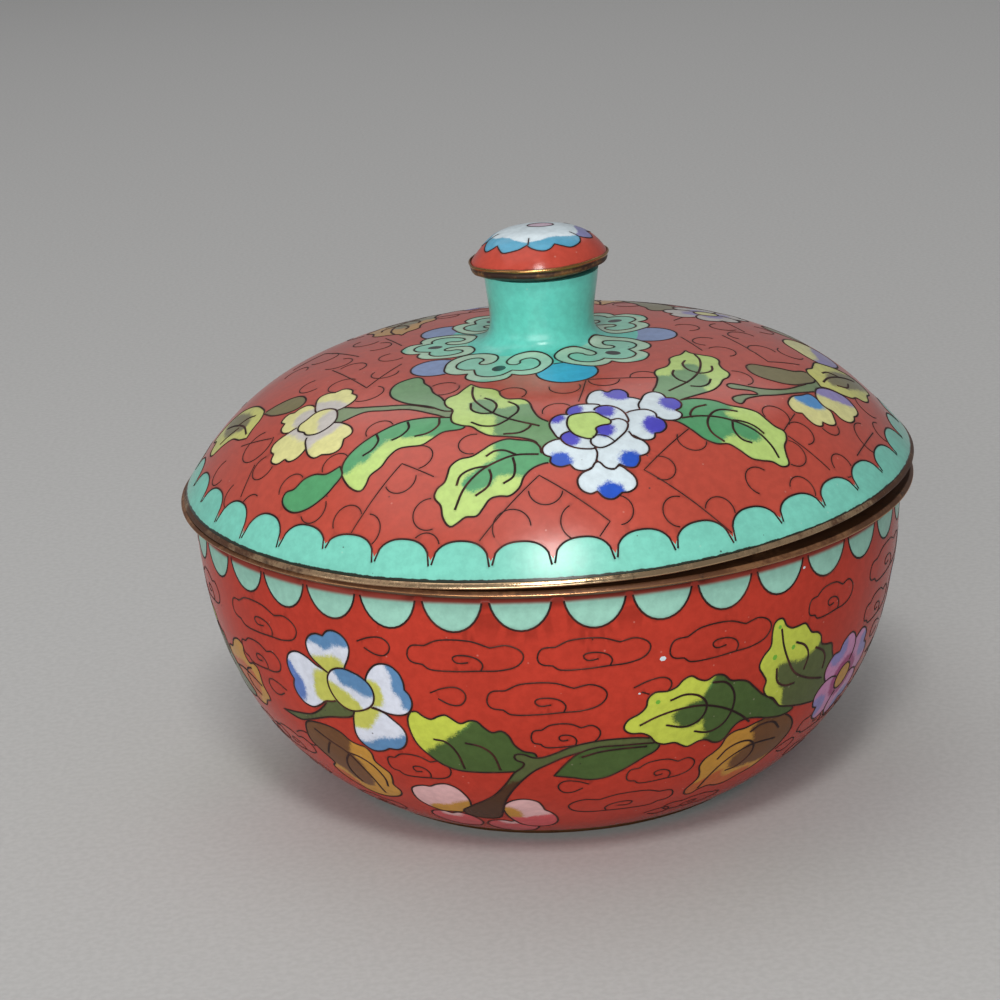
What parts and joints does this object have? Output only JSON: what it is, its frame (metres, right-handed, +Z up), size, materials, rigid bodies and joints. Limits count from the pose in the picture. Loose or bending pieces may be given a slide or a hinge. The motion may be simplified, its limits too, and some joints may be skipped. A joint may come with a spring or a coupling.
{
  "type": "cloisonne lidded bowl",
  "caption": "Round enamelled copper bowl on a low foot ring, with a domed lid and knob, covered in cloisonne flowers, leaves and scallops.",
  "frame": {"origin": "centre of the foot ring's underside, on the surface the bowl stands on", "axes": "+Z up along the bowl's axis; -Y towards the front, where the lid's blue and white flower is; +X to the right"},
  "size_m": [0.1208, 0.1213, 0.0911],
  "materials": {
    "bowl_enamel": "glossy vitreous enamel, brick red with flowers, leaves and turquoise scallops between thin wires, turquoise inside",
    "lid_enamel": "glossy vitreous enamel, brick red with flowers, leaves, turquoise scallops and collar between thin wires, turquoise inside",
    "knob_enamel": "glossy vitreous enamel, red with a white and sky-blue flower",
    "bowl_brass": "worn and darkened, bright along the edge",
    "lid_brass": "worn and darkened, bright along the edge",
    "knob_brass": "worn to a shine on the edge, dark beneath",
    "foot_brass": "dull, rubbed on the underside"
  },
  "bodies": {
    "root": {"bowl_body": "bowl_enamel", "bowl_rim": "bowl_brass", "bowl_collar": "bowl_brass", "foot_ring": "foot_brass", "lid_body": "lid_enamel", "lid_rim": "lid_brass", "knob_rim": "knob_brass", "knob_top": "knob_enamel"}
  },
  "joints": []
}
